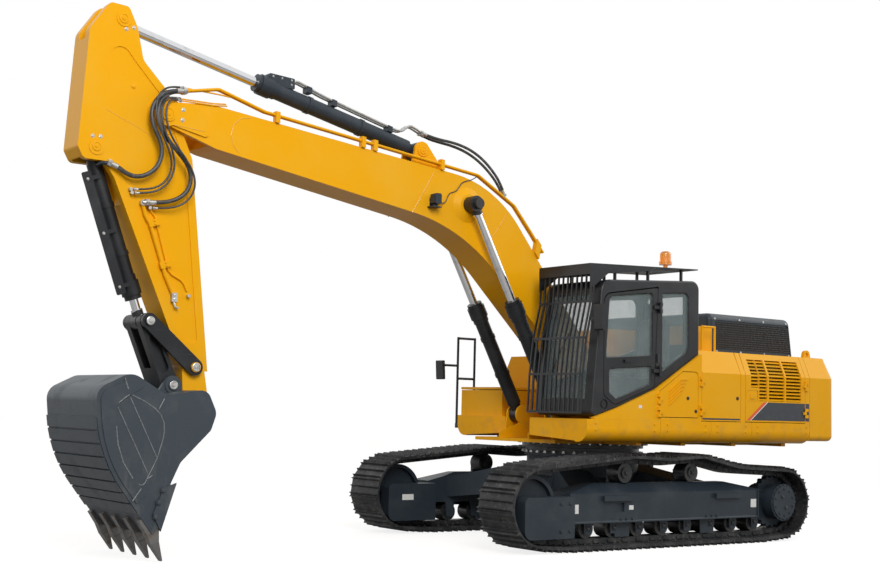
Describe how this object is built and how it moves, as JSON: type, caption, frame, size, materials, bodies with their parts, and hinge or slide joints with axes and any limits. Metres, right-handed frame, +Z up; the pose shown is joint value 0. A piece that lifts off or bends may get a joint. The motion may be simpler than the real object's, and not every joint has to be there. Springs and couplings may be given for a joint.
{
  "type": "crawler excavator",
  "caption": "Crawler excavator with cab and guard, one-piece boom, arm and toothed bucket on swinging upper body over two steel tracks.",
  "frame": {"origin": "on the ground under the slew axis", "axes": "+X forward to the boom, +Y to the operator's left, +Z up"},
  "size_m": [10.294, 3.275, 5.4983],
  "materials": {
    "yellow_paint": "satin",
    "charcoal_paint": "satin",
    "black_paint": "satin",
    "worn_steel": "worn",
    "chrome": "polished",
    "glass": "clear",
    "seat_fabric": "woven",
    "grey_plastic": "matte",
    "amber": "gloss"
  },
  "bodies": {
    "undercarriage": {"car_body": "charcoal_paint", "side_frames": "charcoal_paint", "track_left": "worn_steel", "track_right": "worn_steel", "track_rollers": "worn_steel", "idlers": "charcoal_paint", "final_drives": "charcoal_paint", "slew_ring_lower": "black_paint"},
    "upper": {"slew_ring_upper": "black_paint", "upper_frame": "yellow_paint", "skirts": "yellow_paint", "counterweight": "yellow_paint", "engine_block": "black_paint", "house_shell": "yellow_paint", "tanks": "yellow_paint", "toolbox": "yellow_paint", "cab_shell": "charcoal_paint", "cab_glass": "glass", "cab_guard": "charcoal_paint", "seat": "seat_fabric", "cab_controls": "grey_plastic", "beacon": "amber", "mirrors_and_rails": "charcoal_paint"},
    "cab_door": {"cab_door": "charcoal_paint", "cab_door_glass": "glass"},
    "louvre_door": {"louvre_door": "yellow_paint"},
    "side_door_front": {"side_door_front": "yellow_paint"},
    "side_door_rear": {"side_door_rear": "yellow_paint"},
    "pump_door": {"pump_door": "yellow_paint"},
    "engine_hood": {"engine_hood": "charcoal_paint"},
    "toolbox_lid": {"toolbox_lid": "yellow_paint"},
    "boom": {"boom": "yellow_paint", "boom_pipes": "yellow_paint", "work_lamp": "black_paint"},
    "boom_barrels": {"boom_cylinder_barrels": "charcoal_paint"},
    "boom_rods": {"boom_cylinder_rods": "chrome"},
    "arm_barrel": {"arm_cylinder_barrel": "charcoal_paint"},
    "arm_rod": {"arm_cylinder_rod": "chrome"},
    "arm": {"arm": "yellow_paint"},
    "bucket_barrel": {"bucket_cylinder_barrel": "charcoal_paint"},
    "bucket_rod": {"bucket_cylinder_rod": "chrome"},
    "guide_links": {"guide_links": "charcoal_paint"},
    "power_link": {"power_link": "charcoal_paint"},
    "bucket": {"bucket": "charcoal_paint", "bucket_teeth": "worn_steel"}
  },
  "joints": [
    {"name": "swing", "type": "hinge", "parent": "undercarriage", "child": "upper", "pos_m": [0, 0, 1.1], "axis": [0, 0, 1], "continuous": true},
    {"name": "boom_lift", "type": "hinge", "parent": "upper", "child": "boom", "pos_m": [0.1, 0, 1.97], "axis": [0, -1, 0], "range_deg": [-62, 45]},
    {"name": "arm_swing", "type": "hinge", "parent": "boom", "child": "arm", "pos_m": [5.96, 0, 4.451], "axis": [0, 1, 0], "range_deg": [-90, 22]},
    {"name": "bucket_curl", "type": "hinge", "parent": "arm", "child": "bucket", "pos_m": [5.468, 0, 1.352], "axis": [0, 1, 0], "range_deg": [-8, 140]},
    {"name": "boom_cylinder_pivot", "type": "hinge", "parent": "upper", "child": "boom_barrels", "pos_m": [0.755, 0, 1.5], "axis": [0, -1, 0], "range_deg": [-63, 46]},
    {"name": "boom_cylinder_slide", "type": "slide", "parent": "boom_barrels", "child": "boom_rods", "axis": [0.4853, 0, 0.8743], "range_m": [-0.745, 0.542]},
    {"name": "arm_cylinder_pivot", "type": "hinge", "parent": "boom", "child": "arm_barrel", "pos_m": [2.7, 0, 4.53], "axis": [0, 1, 0], "range_deg": [-4, 2]},
    {"name": "arm_cylinder_slide", "type": "slide", "parent": "arm_barrel", "child": "arm_rod", "axis": [0.9764, 0, 0.216], "range_m": [-1.38, 0.34]},
    {"name": "bucket_cylinder_pivot", "type": "hinge", "parent": "arm", "child": "bucket_barrel", "pos_m": [6.67, 0, 4.026], "axis": [0, 1, 0], "range_deg": [-6, 1]},
    {"name": "bucket_cylinder_slide", "type": "slide", "parent": "bucket_barrel", "child": "bucket_rod", "axis": [-0.3447, 0, -0.9387], "range_m": [-0.06, 0.97]},
    {"name": "guide_link_pivot", "type": "hinge", "parent": "arm", "child": "guide_links", "pos_m": [5.535, 0, 1.897], "axis": [0, 1, 0], "range_deg": [-6, 93]},
    {"name": "power_link_pivot", "type": "hinge", "parent": "guide_links", "child": "power_link", "pos_m": [6.051, 0, 2.34], "axis": [0, 1, 0], "range_deg": [-71, 5]},
    {"name": "cab_door_hinge", "type": "hinge", "parent": "upper", "child": "cab_door", "pos_m": [0.138, 1.482, 2.4], "axis": [0, 0, 1], "range_deg": [0, 165]},
    {"name": "louvre_door_hinge", "type": "hinge", "parent": "upper", "child": "louvre_door", "pos_m": [0.151, 1.507, 1.65], "axis": [0, 0, 1], "range_deg": [-85, 0]},
    {"name": "side_door_front_hinge", "type": "hinge", "parent": "upper", "child": "side_door_front", "pos_m": [-0.564, 1.507, 1.8], "axis": [0, 0, 1], "range_deg": [-90, 0]},
    {"name": "side_door_rear_hinge", "type": "hinge", "parent": "upper", "child": "side_door_rear", "pos_m": [-2.496, 1.507, 1.8], "axis": [0, 0, 1], "range_deg": [0, 90]},
    {"name": "pump_door_hinge", "type": "hinge", "parent": "upper", "child": "pump_door", "pos_m": [-2.496, -1.507, 1.8], "axis": [0, 0, 1], "range_deg": [-90, 0]},
    {"name": "engine_hood_hinge", "type": "hinge", "parent": "upper", "child": "engine_hood", "pos_m": [-2.925, 0, 2.352], "axis": [0, -1, 0], "range_deg": [0, 65]},
    {"name": "toolbox_lid_hinge", "type": "hinge", "parent": "upper", "child": "toolbox_lid", "pos_m": [0.13, -1.045, 1.808], "axis": [0, -1, 0], "range_deg": [0, 80]}
  ],
  "couplings": [
    {"joint": "boom_cylinder_pivot", "follows": "boom_lift", "ratio": 1.009},
    {"joint": "boom_cylinder_slide", "follows": "boom_lift", "m_per_rad": 0.6847},
    {"joint": "arm_cylinder_pivot", "follows": "arm_swing", "ratio": 0.037},
    {"joint": "arm_cylinder_slide", "follows": "arm_swing", "m_per_rad": 0.8738},
    {"joint": "bucket_cylinder_pivot", "follows": "bucket_curl", "ratio": -0.0371},
    {"joint": "bucket_cylinder_slide", "follows": "bucket_curl", "m_per_rad": 0.3933},
    {"joint": "guide_link_pivot", "follows": "bucket_curl", "ratio": 0.66},
    {"joint": "power_link_pivot", "follows": "bucket_curl", "ratio": -0.5014}
  ]
}
